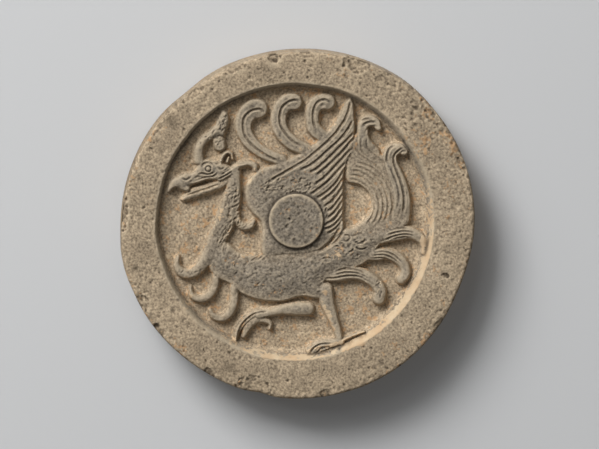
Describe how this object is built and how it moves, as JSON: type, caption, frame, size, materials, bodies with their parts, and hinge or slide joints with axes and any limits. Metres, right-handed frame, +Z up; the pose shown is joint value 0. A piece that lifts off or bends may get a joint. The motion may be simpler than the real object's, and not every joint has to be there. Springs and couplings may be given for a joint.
{
  "type": "roof end tile",
  "caption": "Round fired-clay tile that closes the eave end of a row of half-round roof tiles, with a long-tailed bird in low relief inside a wide plain rim.",
  "frame": {"origin": "middle of the flat back, where the disc met the barrel of the row behind it", "axes": "+Z up as the tile stands at the eave, -Y out of the decorated front, +Y out of the flat back, +X to the right seen from the front"},
  "size_m": [0.184, 0.028, 0.1811],
  "materials": {
    "fired_clay": "matt unglazed grey-brown earthenware, worn and pitted, with a paler tan rim and cream to orange soil left in the hollows"
  },
  "bodies": {
    "root": {"tile_end_disc": "fired_clay"}
  },
  "joints": []
}
